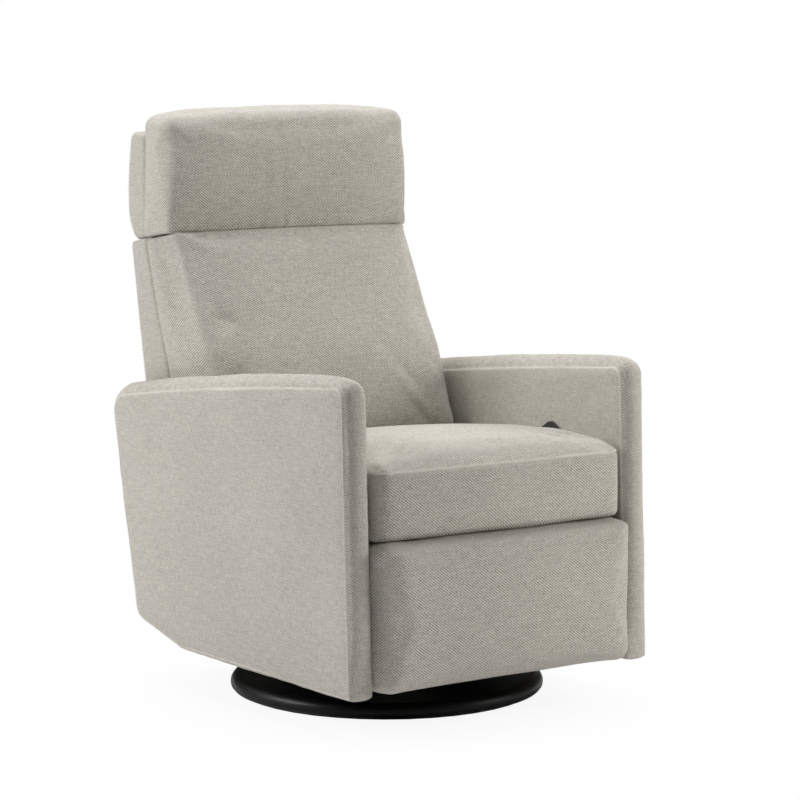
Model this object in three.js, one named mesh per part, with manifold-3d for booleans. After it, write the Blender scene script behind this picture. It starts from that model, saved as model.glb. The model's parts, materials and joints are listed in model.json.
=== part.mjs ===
// Upholstered swivel glider recliner, as an assembly of separate solids.
// Millimetres, +Z up. The sitter faces -Y. The origin is the centre of the floor pad's underside,
// which lies on the swivel axis. Each body of the mechanism is one THREE.Group.
import * as THREE from "three";
import { ConvexGeometry } from "three/addons/geometries/ConvexGeometry.js";
import { mergeVertices } from "three/addons/utils/BufferGeometryUtils.js";
import Module from "manifold-3d";

// ---------------------------------------------------------------- driving dimensions
const GAP = 0.4; // between neighbouring solids
const HALF_WIDTH = 340; // outer faces of the arms
const ARM_THICK = 56;
const ARM_IN = HALF_WIDTH - ARM_THICK; // inner face of an arm

const PAD_RADIUS = 284;
const PAD_TOP = 3;
const DISC_RADIUS = 299;
const DISC_TOP = 32;
const DISC_ROLL = 17; // radius of the disc's rolled top edge
const DISC_STEP = 1.5; // the disc's middle lies this much below its rolled edge
const SHEET = 3; // thickness of the pressed steel
const FLANGE_RADIUS = 255; // inner edge of the disc's foot flange

// Glide linkage: four equal links hang from a stand on the swivel plate and carry the chair.
const GLIDE_REACH = 120; // pivots stand this far in front of and behind the swivel axis
const GLIDE_TOP = 225;
const GLIDE_LENGTH = 120;
const GLIDE_LOW = GLIDE_TOP - GLIDE_LENGTH;
const GLIDE_PIN = 8;
const PLATE = 5; // thickness of the glide mechanism's steel

// Seat box
const RAIL_IN = 261.5; // inner faces of the wooden side rails
const RAIL_OUT = ARM_IN - GAP;
const RAIL_TOP = 338;
const CUSHION_HALF = 271;
const CUSHION_BOTTOM = 350;

// Footrest linkage, one set each side. Angles turn from straight down towards the front.
const REST_PIVOT = [-225, 266]; // (y, z) of the drive tube
const CRANK = 120; // drive tube to knee
const CRANK_START = 22; // degrees
const CRANK_BEND = -4; // the crank's far half turns back by this much at the knee
const CRANK_TAIL = 60; // knee to tie pivot, and footrest pivot to tie pivot
const SWING = 172; // knee to footrest pivot
const SWING_START = 178;
const SWING_TAIL = 40; // knee to the pin that runs in the curved slot
const REST_TRAVEL = 70; // degrees that the crank and the footrest turn
const LINK_HALF = 9; // half the width of a link
const LINK_PIN = 4.5;
const LINK_HOLE = 5;
const SLOT_PLANE = [256, 260]; // slotted side plate, x from and to
const OUTER_PLANE = [249.5, 253.5]; // swing link and tie link
const INNER_PLANE = [243, 247]; // crank and footrest bracket
const REST_BACK = -325; // back face of the footrest board
const REST_HALF = 281;
const REST_Z = [82, 343];

// Back and headrest
const RECLINE_PIVOT = [262, 352];
const BACK_HALF = 268;
const HEAD_PIVOT = [372, 860.7];
const PARTING_SLOPE = -0.1935; // the parting between back and headrest falls towards the rear
const PARTING_Z = 865; // at PARTING_Y
const PARTING_Y = 350;

// Release lever on the inside of the arm at +X
const LEVER_PIVOT = [-128, 400];
const LEVER_PLANE = [275.5, 281.5];

// ---------------------------------------------------------------- materials
const material = (color, roughness, metalness = 0) =>
  new THREE.MeshStandardMaterial({ color, roughness, metalness });
const fabric = material(0xb9b5ab, 0.9);
const blackLacquer = material(0x141414, 0.35);
const steel = material(0x2b2c2e, 0.45, 0.9);
const zinc = material(0xa9abad, 0.35, 0.95);
const plywood = material(0xc39a63, 0.7);
const rubber = material(0x1b1b1b, 0.85);
const blackPlastic = material(0x161616, 0.5);

// ---------------------------------------------------------------- solids helpers
const wasm = await Module();
wasm.setup();

function toSolid(geometry) {
  const bare = geometry.clone();
  bare.deleteAttribute("normal");
  bare.deleteAttribute("uv");
  const merged = mergeVertices(bare, 1e-3);
  return new wasm.Manifold(
    new wasm.Mesh({
      numProp: 3,
      vertProperties: merged.attributes.position.array,
      triVerts: new Uint32Array(merged.index.array),
    }),
  );
}

function toGeometry(solid) {
  const { numProp, numVert, vertProperties, triVerts } = solid.getMesh();
  const places = new Float32Array(numVert * 3);
  for (let i = 0; i < numVert; i++) {
    places.set(vertProperties.subarray(i * numProp, i * numProp + 3), i * 3);
  }
  const geometry = new THREE.BufferGeometry();
  geometry.setAttribute("position", new THREE.BufferAttribute(places, 3));
  geometry.setIndex(new THREE.BufferAttribute(triVerts, 1));
  geometry.computeVertexNormals();
  return geometry;
}

const cut = (geometry, ...tools) =>
  toGeometry(tools.reduce((s, t) => s.subtract(toSolid(t)), toSolid(geometry)));
const join = (geometry, ...more) =>
  toGeometry(more.reduce((s, m) => s.add(toSolid(m)), toSolid(geometry)));

// ---------------------------------------------------------------- shape helpers
// A shape drawn in (y, z) and pushed along x takes this turn from three's own (x, y, z).
const PROFILE_TURN = new THREE.Matrix4().makeBasis(
  new THREE.Vector3(0, 1, 0),
  new THREE.Vector3(0, 0, 1),
  new THREE.Vector3(1, 0, 0),
);

function shapeOf(points) {
  return new THREE.Shape(points.map(([y, z]) => new THREE.Vector2(y, z)));
}

/** A (y, z) shape pushed along x from x0 to x1. */
function plate(shape, x0, x1, curveSegments = 8) {
  return new THREE.ExtrudeGeometry(shape, {
    depth: x1 - x0,
    bevelEnabled: false,
    curveSegments,
  })
    .applyMatrix4(PROFILE_TURN)
    .translate(x0, 0, 0);
}

/** The outline's points moved inwards by some distance, square to the outline. */
function inset(outline, distance) {
  const count = outline.length;
  const turn = THREE.ShapeUtils.isClockWise(outline) ? -1 : 1;
  return outline.map((point, i) => {
    const ahead = outline[(i + 1) % count].clone().sub(point).normalize();
    const behind = point.clone().sub(outline[(i + count - 1) % count]).normalize();
    const along = ahead.add(behind).normalize();
    return point.clone().addScaledVector(new THREE.Vector2(-along.y, along.x), turn * distance);
  });
}

/** A convex (y, z) shape pushed along x from x0 to x1, with its edges at both ends rounded by edge. */
function pillow(shape, x0, x1, edge) {
  const outline = shape.getPoints(5).filter((p, i, all) => i === 0 || p.distanceTo(all[0]) > 0.01);
  const points = [];
  for (const [share, depth] of [[0, 1], [0.3, 0.3], [1, 0]]) {
    for (const p of inset(outline, depth * edge)) {
      points.push(new THREE.Vector3(x0 + share * edge, p.x, p.y));
      points.push(new THREE.Vector3(x1 - share * edge, p.x, p.y));
    }
  }
  return new ConvexGeometry(points);
}

function box(x0, x1, y0, y1, z0, z1) {
  return new THREE.BoxGeometry(x1 - x0, y1 - y0, z1 - z0).translate(
    (x0 + x1) / 2,
    (y0 + y1) / 2,
    (z0 + z1) / 2,
  );
}

/** A round bar along x at (y, z). */
function barX(radius, x0, x1, [y, z], sides = 16) {
  return new THREE.CylinderGeometry(radius, radius, x1 - x0, sides)
    .rotateZ(Math.PI / 2)
    .translate((x0 + x1) / 2, y, z);
}

function barZ(radius, z0, z1, sides = 40) {
  return new THREE.CylinderGeometry(radius, radius, z1 - z0, sides)
    .rotateX(Math.PI / 2)
    .translate(0, 0, (z0 + z1) / 2);
}

/** A bar with round ends between two (y, z) pivots. */
function strap(a, b, halfWidth, [x0, x1]) {
  const along = Math.atan2(b[1] - a[1], b[0] - a[0]);
  const side = along + Math.PI / 2;
  const shape = new THREE.Shape();
  shape.absarc(a[0], a[1], halfWidth, side, side + Math.PI, false);
  shape.absarc(b[0], b[1], halfWidth, side + Math.PI, side + 2 * Math.PI, false);
  shape.closePath();
  return plate(shape, x0, x1, 6);
}

const hole = (place, radius, [x0, x1], sides = 16) =>
  barX(radius, x0 - 1, x1 + 1, place, sides);

/** Unit direction in (y, z), turned by degrees from straight down towards the front. */
function heading(degrees) {
  const a = THREE.MathUtils.degToRad(degrees);
  return [-Math.sin(a), -Math.cos(a)];
}

const step = ([y, z], length, degrees) => {
  const [dy, dz] = heading(degrees);
  return [y + length * dy, z + length * dz];
};

function put(group, name, geometry, look) {
  const mesh = new THREE.Mesh(geometry, look);
  mesh.name = name;
  group.add(mesh);
  return mesh;
}

/** The same geometry on both sides: as given at +X, and mirrored at -X. */
function putPair(group, name, geometry, look) {
  put(group, name + "_right", geometry, look);
  put(group, name + "_left", geometry.clone(), look).scale.x = -1;
}

// ---------------------------------------------------------------- base
/** A pressed steel pan with a rolled top edge, open below inside its foot flange. */
function discGeometry() {
  const bottom = PAD_TOP + GAP;
  const profile = [[FLANGE_RADIUS, bottom], [DISC_RADIUS - 9, bottom]];
  const roll = (radius) => {
    for (let i = 0; i <= 4; i++) {
      const a = (i / 4) * (Math.PI / 2);
      profile.push([
        DISC_RADIUS - DISC_ROLL + radius * Math.cos(a),
        DISC_TOP - DISC_ROLL + radius * Math.sin(a),
      ]);
    }
  };
  roll(DISC_ROLL);
  profile.push([DISC_RADIUS - 32, DISC_TOP - DISC_STEP], [0, DISC_TOP - DISC_STEP]);
  profile.push([0, DISC_TOP - DISC_STEP - SHEET], [DISC_RADIUS - 32, DISC_TOP - DISC_STEP - SHEET]);
  const inner = [];
  for (let i = 0; i <= 4; i++) {
    const a = Math.PI / 2 - (i / 4) * (Math.PI / 2);
    inner.push([
      DISC_RADIUS - DISC_ROLL + (DISC_ROLL - SHEET) * Math.cos(a),
      DISC_TOP - DISC_ROLL + (DISC_ROLL - SHEET) * Math.sin(a),
    ]);
  }
  profile.push(...inner, [DISC_RADIUS - 12, bottom + SHEET], [FLANGE_RADIUS, bottom + SHEET]);
  profile.push(profile[0]);
  const points = profile.map(([r, z]) => new THREE.Vector2(r, z));
  return new THREE.LatheGeometry(points, 56).rotateX(Math.PI / 2);
}

function makeBase() {
  const group = new THREE.Group();
  const top = DISC_TOP - DISC_STEP + GAP;
  put(group, "floor_pad", barZ(PAD_RADIUS, 0, PAD_TOP), rubber);
  put(group, "base_disc", discGeometry(), blackLacquer);
  put(group, "swivel_lower_plate", join(barZ(150, top, top + 4), barZ(18, top, top + 17, 24)), zinc);
  put(group, "swivel_ball_race", cut(barZ(128, top + 4.4, top + 9.6), barZ(108, 0, 90)), zinc);
  return group;
}

// ---------------------------------------------------------------- swivel plate and glide stand
const SWIVEL_BOTTOM = DISC_TOP - DISC_STEP + GAP + 10;
const SWIVEL_TOP = SWIVEL_BOTTOM + 5;
const STAND_X = [150, 155];
const GLIDE_LINK_X = [160, 165];
const CARRIAGE_X = [170, 175];
const GLIDE_SIDES = [
  ["front", -GLIDE_REACH],
  ["rear", GLIDE_REACH],
];

function standGeometry() {
  const low = SWIVEL_TOP + GAP;
  const shape = shapeOf([
    [-135, low],
    [135, low],
    [GLIDE_REACH + 18, GLIDE_TOP + 5],
    [GLIDE_REACH + 8, GLIDE_TOP + 18],
    [-GLIDE_REACH - 8, GLIDE_TOP + 18],
    [-GLIDE_REACH - 18, GLIDE_TOP + 5],
  ]);
  const web = plate(shape, ...STAND_X);
  const flange = box(STAND_X[0] - 35, STAND_X[1], -135, 135, low, low + 5);
  const holes = GLIDE_SIDES.map(([, y]) => hole([y, GLIDE_TOP], GLIDE_PIN + GAP, STAND_X));
  return cut(join(web, flange), ...holes);
}

function makeSwivel() {
  const group = new THREE.Group();
  const upper = cut(
    box(-158, 158, -140, 140, SWIVEL_BOTTOM, SWIVEL_TOP),
    barZ(19, 0, 90, 24),
  );
  put(group, "swivel_upper_plate", upper, steel);
  putPair(group, "glide_stand", standGeometry(), steel);
  for (const [end, y] of GLIDE_SIDES) {
    put(group, "glide_shaft_" + end, barX(GLIDE_PIN, -168, 168, [y, GLIDE_TOP]), zinc);
  }
  return group;
}

function makeGlideLinks(end, y) {
  const group = new THREE.Group();
  const high = [y, GLIDE_TOP];
  const low = [y, GLIDE_LOW];
  const link = cut(
    strap(high, low, 16, GLIDE_LINK_X),
    hole(high, GLIDE_PIN + GAP, GLIDE_LINK_X),
    hole(low, GLIDE_PIN + GAP, GLIDE_LINK_X),
  );
  putPair(group, "glide_link_" + end, link, zinc);
  return group;
}

// ---------------------------------------------------------------- carriage and seat box
const CARRIAGE_TOP = 262;
const CROSS_Y = 165;

/** Hangs on the four links: a web with a stud at each lower pivot, and a flange for the cross bars. */
function carriageGeometry() {
  const shape = shapeOf([
    [-GLIDE_REACH - 20, GLIDE_LOW - 16],
    [GLIDE_REACH + 20, GLIDE_LOW - 16],
    [CROSS_Y + 20, CARRIAGE_TOP],
    [-CROSS_Y - 20, CARRIAGE_TOP],
  ]);
  const web = plate(shape, ...CARRIAGE_X);
  const flange = box(
    CARRIAGE_X[0], CARRIAGE_X[1] + 40, -CROSS_Y - 20, CROSS_Y + 20, CARRIAGE_TOP - PLATE, CARRIAGE_TOP,
  );
  const studs = GLIDE_SIDES.map(([, y]) => barX(GLIDE_PIN, 158, CARRIAGE_X[0] + 1, [y, GLIDE_LOW]));
  return join(web, flange, ...studs);
}

/** A zigzag seat spring that runs from the front rail to the rear rail. */
function springGeometry(x, y0, y1, z) {
  const wire = 2;
  const waves = 6;
  const reach = 20;
  const points = [];
  for (let i = 0; i <= waves * 4; i++) {
    const share = i / (waves * 4);
    const sway = Math.sin(share * waves * 2 * Math.PI) * reach;
    const sag = -1.5 + 3 * Math.sin(share * Math.PI);
    points.push(new THREE.Vector3(x + sway, y0 + share * (y1 - y0), z + sag));
  }
  const section = new THREE.Shape();
  section.absarc(0, 0, wire, 0, 2 * Math.PI, false);
  return new THREE.ExtrudeGeometry(section, {
    steps: waves * 6,
    curveSegments: 2,
    extrudePath: new THREE.CatmullRomCurve3(points),
  });
}

function cushionShape() {
  const shape = new THREE.Shape();
  shape.moveTo(-330, CUSHION_BOTTOM);
  shape.lineTo(118, CUSHION_BOTTOM);
  shape.lineTo(118, 430);
  shape.lineTo(124, 474);
  shape.quadraticCurveTo(118, 490, 90, 492);
  shape.quadraticCurveTo(-110, 508, -280, 492);
  shape.quadraticCurveTo(-340, 488, -351, 466);
  shape.quadraticCurveTo(-355, 420, -352, 372);
  shape.quadraticCurveTo(-351, CUSHION_BOTTOM, -330, CUSHION_BOTTOM);
  return shape;
}

function makeSeatBox(group) {
  putPair(group, "carriage_plate", carriageGeometry(), steel);
  for (const [end, sign] of [["front", -1], ["rear", 1]]) {
    const y = sign * CROSS_Y;
    const x = RAIL_IN - GAP;
    const z = CARRIAGE_TOP + GAP;
    const bar = box(-x, x, y - 13, y + 13, z, z + 26);
    const bore = box(-x - 1, x + 1, y - 11, y + 11, z + 2, z + 24);
    put(group, "carriage_cross_" + end, cut(bar, bore), steel);
  }
  putPair(group, "seat_rail", box(RAIL_IN, RAIL_OUT, -318, 275, 232, RAIL_TOP), plywood);
  const across = [-RAIL_IN + GAP, RAIL_IN - GAP];
  put(group, "seat_front_rail", box(...across, -255, -234, 300, RAIL_TOP - 1), plywood);
  put(group, "seat_rear_rail", box(...across, 205, 228, 262, RAIL_TOP - 1), plywood);
  put(group, "seat_deck", box(-240, 240, -320, -240, RAIL_TOP + 0.5, CUSHION_BOTTOM - 1.5), plywood);
  const springs = [["left", -150], ["middle", 0], ["right", 150]];
  for (const [side, x] of springs) {
    put(group, "seat_spring_" + side, springGeometry(x, -236, 218, RAIL_TOP + 4), zinc);
  }
  put(group, "seat_cushion", pillow(cushionShape(), -CUSHION_HALF, CUSHION_HALF, 16), fabric);
}

// ---------------------------------------------------------------- arms and rear panel
const ARM_BOTTOM = 80;
const ARM_BOARD_X = [303, 321];

function armShape(inset = 0) {
  const n = inset;
  const shape = new THREE.Shape();
  shape.moveTo(-365 + n, ARM_BOTTOM);
  shape.lineTo(210, ARM_BOTTOM);
  shape.lineTo(356 - n, 123);
  shape.lineTo(442 - n, 512 - n);
  shape.quadraticCurveTo(450 - n, 549 - n, 380 - n, 558 - n);
  shape.quadraticCurveTo(37, 611 - n, -300 + n, 631 - n);
  shape.quadraticCurveTo(-341 + n, 634 - n, -343 + n, 598 - n);
  shape.closePath();
  return shape;
}

const leverHousingShape = (grow) => {
  const [y, z] = LEVER_PIVOT;
  const r = 34 + grow;
  return shapeOf([
    [y - r, z - r],
    [y + r, z - r],
    [y + r, z + r * 0.7],
    [y + r * 0.7, z + r],
    [y - r * 0.7, z + r],
    [y - r, z + r * 0.7],
  ]);
};

function makeArms(group) {
  const padding = pillow(armShape(), ARM_IN, HALF_WIDTH, 7);
  const boardRoom = plate(armShape(20 - GAP), ARM_BOARD_X[0] - GAP, ARM_BOARD_X[1] + GAP);
  const openBelow = box(ARM_BOARD_X[0] - GAP, ARM_BOARD_X[1] + GAP, -344, 205, 60, 90);
  const arm = cut(padding, boardRoom, openBelow);
  const housingRoom = plate(leverHousingShape(GAP), ARM_IN - 5, ARM_IN + 4.5);
  put(group, "arm_right", cut(arm, housingRoom), fabric);
  put(group, "arm_left", arm, fabric).scale.x = -1;
  putPair(group, "arm_board", plate(armShape(20), ...ARM_BOARD_X), plywood);
  const rearLean = (z) => 351 + (z - 123) * 0.213; // follows the arms' rear edges
  const rear = shapeOf([
    [rearLean(126) - 11, 126],
    [rearLean(126), 126],
    [rearLean(286), 286],
    [rearLean(286) - 11, 286],
  ]);
  put(group, "rear_panel", plate(rear, -ARM_IN + 1, ARM_IN - 1), fabric);
}

// ---------------------------------------------------------------- footrest linkage
/** The linkage's pivots when the crank has turned by some degrees from closed. */
function restPivots(turned) {
  const knee = step(REST_PIVOT, CRANK, CRANK_START + turned);
  const swing = SWING_START - turned;
  const tail = CRANK_START + CRANK_BEND + turned;
  const front = step(knee, SWING, swing);
  return {
    knee,
    front,
    slotPin: step(knee, -SWING_TAIL, swing),
    tieLow: step(knee, CRANK_TAIL, tail),
    tieHigh: step(front, CRANK_TAIL, tail),
  };
}

/** Bolts to the side rail, carries the drive tube, and guides the swing link's tail pin in a curved slot. */
function slotPlateGeometry() {
  const places = [];
  const steps = 12;
  for (let i = 0; i <= steps; i++) {
    places.push(restPivots(-1.5 + ((REST_TRAVEL + 3) * i) / steps).slotPin);
  }
  const shape = shapeOf([
    [-253, 100],
    [-285, 100],
    [-321, 165],
    [-321, 290],
    [-300, 298],
    [-182, 298],
    [-182, 256],
    [-205, 240],
  ]);
  const slot = [];
  for (let i = 0; i < steps; i++) {
    slot.push(strap(places[i], places[i + 1], LINK_HOLE, [SLOT_PLANE[0] - 1, SLOT_PLANE[1] + 1]));
  }
  return cut(plate(shape, ...SLOT_PLANE), hole(REST_PIVOT, 10 + GAP, SLOT_PLANE), join(...slot));
}

function crankGeometry(p) {
  const bar = join(
    strap(REST_PIVOT, p.knee, LINK_HALF + 5, INNER_PLANE),
    strap(p.knee, p.tieLow, LINK_HALF, INNER_PLANE),
    barX(LINK_PIN, INNER_PLANE[1] - 1, OUTER_PLANE[1] + 1, p.knee, 16),
    barX(LINK_PIN, INNER_PLANE[1] - 1, OUTER_PLANE[1] + 1, p.tieLow, 16),
  );
  return cut(bar, hole(REST_PIVOT, 10 + GAP, INNER_PLANE));
}

function swingGeometry(p) {
  const bar = join(
    strap(p.slotPin, p.front, LINK_HALF, OUTER_PLANE),
    barX(LINK_PIN, OUTER_PLANE[1] - 1, SLOT_PLANE[1] - 0.5, p.slotPin, 16),
  );
  return cut(
    bar,
    hole(p.knee, LINK_HOLE, OUTER_PLANE, 16),
    hole(p.front, LINK_HOLE, OUTER_PLANE, 16),
  );
}

function tieGeometry(p) {
  return cut(
    strap(p.tieLow, p.tieHigh, LINK_HALF, OUTER_PLANE),
    hole(p.tieLow, LINK_HOLE, OUTER_PLANE, 16),
    hole(p.tieHigh, LINK_HOLE, OUTER_PLANE, 16),
  );
}

function restBracketGeometry(p) {
  const back = REST_BACK + GAP;
  const shape = shapeOf([
    [back, 246],
    [p.tieHigh[0] + 3, 246],
    [p.tieHigh[0] + 12, 256],
    [p.front[0] + 10, p.front[1] - 4],
    [p.front[0] + 8, p.front[1] + 8],
    [p.front[0] - 6, p.front[1] + 9],
    [back, 332],
  ]);
  const studs = [p.front, p.tieHigh].map((place) =>
    barX(LINK_PIN, INNER_PLANE[1] - 1, OUTER_PLANE[1] + 1, place, 16),
  );
  return join(plate(shape, ...INNER_PLANE), box(206, INNER_PLANE[1], back, back + 3, 246, 332), ...studs);
}

const closed = restPivots(0);

function makeCranks() {
  const group = new THREE.Group();
  put(group, "footrest_drive_tube", barX(10, -262 + 2, 262 - 2, REST_PIVOT), steel);
  putPair(group, "footrest_crank", crankGeometry(closed), steel);
  return group;
}

function makeSwings() {
  const group = new THREE.Group();
  putPair(group, "footrest_swing_link", swingGeometry(closed), steel);
  return group;
}

function makeTies() {
  const group = new THREE.Group();
  putPair(group, "footrest_tie_link", tieGeometry(closed), steel);
  return group;
}

function footrestShape() {
  const [low, high] = REST_Z;
  const shape = new THREE.Shape();
  shape.moveTo(REST_BACK, low + 4);
  shape.lineTo(REST_BACK, high - 8);
  shape.quadraticCurveTo(REST_BACK - 2, high, REST_BACK - 14, high);
  shape.quadraticCurveTo(-360, high, -366, high - 22);
  shape.quadraticCurveTo(-374, 212, -368, low + 14);
  shape.quadraticCurveTo(-366, low, -352, low);
  shape.lineTo(REST_BACK - 8, low);
  shape.closePath();
  return shape;
}

function makeFootrest() {
  const group = new THREE.Group();
  const [low, high] = REST_Z;
  const board = [-262, 262, REST_BACK - 16, REST_BACK, low + 14, high - 11];
  const room = box(-262 - GAP, 262 + GAP, REST_BACK - 16 - GAP, REST_BACK + 20, low + 14 - GAP, high - 11 + GAP);
  put(group, "footrest_board", box(...board), plywood);
  put(group, "footrest_pad", cut(pillow(footrestShape(), -REST_HALF, REST_HALF, 12), room), fabric);
  putPair(group, "footrest_bracket", restBracketGeometry(closed), steel);
  return group;
}

// ---------------------------------------------------------------- back
const partingZ = (y) => PARTING_Z + PARTING_SLOPE * (y - PARTING_Y);
const BACK_SEAM = [
  [428, partingZ(428)],
  [343, 589],
  [303, 400],
]; // where the front pad meets the rear shell
const BACK_BOARD = [
  [414, 800],
  [312, 430],
]; // front face of the board
const BOARD_THICK = 15;
const BRACKET_X = [249, 253];

function backPadShape() {
  const [top, , low] = BACK_SEAM;
  const shape = new THREE.Shape();
  shape.moveTo(top[0] - GAP, top[1] - 1.5);
  shape.lineTo(372, partingZ(372) - 1.5);
  shape.quadraticCurveTo(350, partingZ(350) - 2, 338, 846);
  shape.quadraticCurveTo(262, 742, 239, 704);
  shape.quadraticCurveTo(186, 612, 136, 474);
  shape.quadraticCurveTo(118, 410, 165, 404);
  shape.lineTo(low[0] - GAP, low[1] + 1);
  shape.closePath();
  return shape;
}

function backShellShape() {
  const [top, middle, low] = BACK_SEAM;
  const shape = new THREE.Shape();
  shape.moveTo(top[0], top[1] - 1.5);
  shape.lineTo(middle[0], middle[1]);
  shape.lineTo(low[0], low[1]);
  shape.lineTo(298, 352);
  shape.quadraticCurveTo(298, 340, 312, 340);
  shape.lineTo(366, 340);
  shape.quadraticCurveTo(388, 342, 391, 362);
  shape.lineTo(439, 572);
  shape.lineTo(486, 812);
  shape.quadraticCurveTo(488, 834, 466, partingZ(466) - 2);
  shape.closePath();
  return shape;
}

const backBoardShape = (grow) => {
  const [top, low] = BACK_BOARD;
  return shapeOf([
    [top[0] - grow, top[1] + grow],
    [top[0] + BOARD_THICK + grow, top[1] + grow],
    [low[0] + BOARD_THICK + grow, low[1] - grow],
    [low[0] - grow, low[1] - grow],
  ]);
};

/** Steel arm from the recline pivot up to the board's edge. */
function backBracketGeometry(grow = 0) {
  const [y, z] = RECLINE_PIVOT;
  const x = [BRACKET_X[0] - grow, BRACKET_X[1] + grow];
  return join(
    strap([y, z], [y + 62, z + 88], 16 + grow, x),
    strap([y + 62, z + 88], [y + 105, z + 200], 14 + grow, x),
  );
}

const HINGE_X = 30; // half the width of the headrest hinge's middle knuckle
const HINGE_OUT = 60;
const KNUCKLE = 9;

/** Leaf of the headrest hinge in (y, z): from the knuckle back to a board's face, then along it. */
function leafShape(points, grow) {
  const straps = [];
  for (let i = 0; i + 1 < points.length; i++) {
    straps.push(strap(points[i], points[i + 1], 2.5 + grow, [-HINGE_OUT - grow, HINGE_OUT + grow]));
  }
  return join(...straps);
}

const LOWER_LEAF = [HEAD_PIVOT, [392, 812], [402, 790], [390, 745]];
const UPPER_LEAF = [HEAD_PIVOT, [424, 902], [433, 915], [433, 965]];

/** The space that both leaves and their knuckle keep free inside the pads, shells and boards. */
function hingeRoom() {
  const shape = shapeOf([
    [362, 852],
    [362, 871],
    [375, 874],
    [418, 906],
    [427, 918],
    [427, 969],
    [437, 969],
    [437, 908],
    [386, 860],
    [397, 815],
    [407, 792],
    [396, 741],
    [384, 741],
    [396, 792],
    [385, 812],
    [370, 850],
  ]);
  return plate(shape, -HINGE_OUT - 6, HINGE_OUT + 6);
}

function lowerLeafGeometry() {
  const ends = [HINGE_X + 0.5, HINGE_OUT + 5];
  const clear = (sign) => {
    const x = ends.map((e) => e * sign).sort((a, b) => a - b);
    return barX(KNUCKLE + 0.8, ...x, HEAD_PIVOT);
  };
  const leaf = cut(leafShape(LOWER_LEAF, 0), clear(1), clear(-1));
  return join(
    leaf,
    barX(KNUCKLE, -HINGE_X, HINGE_X, HEAD_PIVOT),
    barX(4, -HINGE_OUT, HINGE_OUT, HEAD_PIVOT),
  );
}

function upperLeafGeometry() {
  const leaf = cut(leafShape(UPPER_LEAF, 0), barX(KNUCKLE + 0.8, -HINGE_X - 1, HINGE_X + 1, HEAD_PIVOT));
  const knuckles = [
    barX(KNUCKLE, HINGE_X + 1, HINGE_OUT, HEAD_PIVOT),
    barX(KNUCKLE, -HINGE_OUT, -HINGE_X - 1, HEAD_PIVOT),
  ];
  return cut(join(leaf, ...knuckles), barX(4.5, -HINGE_OUT - 5, HINGE_OUT + 5, HEAD_PIVOT));
}

function makeBack() {
  const group = new THREE.Group();
  const [top, middle, low] = BACK_SEAM;
  const behindSeam = shapeOf([
    [top[0] - 60, 802 - 8],
    [BACK_BOARD[0][0] + 6, 802 - 8],
    [BACK_BOARD[1][0] + 6, low[1] + 28],
    [low[0] - 60, low[1] + 28],
    [middle[0] - 60, middle[1]],
  ]);
  const boardRoom = join(plate(backBoardShape(GAP), -246, 246), plate(behindSeam, -246, 246));
  const bracketRoom = [backBracketGeometry(1), backBracketGeometry(1).translate(-502, 0, 0)];
  const behind = plate(
    shapeOf([...BACK_SEAM.map(([y, z]) => [y - GAP, z]), [low[0] - GAP, 380], [520, 380], [520, 870], [top[0] - GAP, 870]]),
    -280,
    280,
  );
  const pad = cut(pillow(backPadShape(), -BACK_HALF, BACK_HALF, 12), behind);
  const shell = pillow(backShellShape(), -BACK_HALF, BACK_HALF, 10);
  put(group, "back_pad", cut(pad, hingeRoom(), ...bracketRoom), fabric);
  put(group, "back_shell", cut(shell, boardRoom, hingeRoom(), ...bracketRoom), fabric);
  put(group, "back_board", cut(plate(backBoardShape(0), -245, 245), hingeRoom()), plywood);
  const pivot = hole(RECLINE_PIVOT, 8 + GAP, BRACKET_X);
  putPair(group, "back_bracket", cut(backBracketGeometry(), pivot), steel);
  put(group, "headrest_hinge_lower", lowerLeafGeometry(), steel);
  return group;
}

/** Fixed half of the recline hinge: a plate on the side rail with the pivot stud. */
function reclinePlateGeometry() {
  const [y, z] = RECLINE_PIVOT;
  const shape = shapeOf([
    [y - 32, 250],
    [y + 10, 250],
    [y + 20, z - 10],
    [y + 12, z + 18],
    [y - 12, z + 18],
    [y - 32, z - 10],
  ]);
  const stud = barX(8, BRACKET_X[0] - 1, SLOT_PLANE[0] + 1, RECLINE_PIVOT);
  return join(plate(shape, ...SLOT_PLANE), stud);
}

// ---------------------------------------------------------------- headrest
function headPadShape() {
  const shape = new THREE.Shape();
  shape.moveTo(430, partingZ(430) + 1.5);
  shape.lineTo(434, 1052);
  shape.quadraticCurveTo(432, 1082, 398, 1085);
  shape.quadraticCurveTo(358, 1084, 352, 1050);
  shape.quadraticCurveTo(346, 960, 350, 888);
  shape.quadraticCurveTo(351, partingZ(352) + 2, 372, partingZ(372) + 1.5);
  shape.closePath();
  return shape;
}

function headShellShape() {
  const shape = new THREE.Shape();
  shape.moveTo(430 + GAP, partingZ(430) + 1.5);
  shape.lineTo(466, partingZ(466) + 1.5);
  shape.quadraticCurveTo(490, 838, 503, 880);
  shape.quadraticCurveTo(508, 960, 496, 1036);
  shape.quadraticCurveTo(490, 1058, 468, 1060);
  shape.lineTo(434 + GAP, 1058);
  shape.closePath();
  return shape;
}

const HEAD_BOARD = [437, 450, 872, 1030]; // y from, y to, z from, z to

function makeHeadrest() {
  const group = new THREE.Group();
  const [y0, y1, z0, z1] = HEAD_BOARD;
  const room = box(-231, 231, y0 - 8, y1 + GAP, z0 - GAP, z1 + GAP);
  const pad = pillow(headPadShape(), -BACK_HALF, BACK_HALF, 12);
  const shell = pillow(headShellShape(), -BACK_HALF + 2, BACK_HALF - 2, 10);
  put(group, "headrest_pad", cut(pad, hingeRoom()), fabric);
  put(group, "headrest_shell", cut(shell, room, hingeRoom()), fabric);
  put(group, "headrest_board", cut(box(-230, 230, y0, y1, z0, z1), hingeRoom()), plywood);
  put(group, "headrest_hinge_upper", upperLeafGeometry(), steel);
  return group;
}

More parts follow.
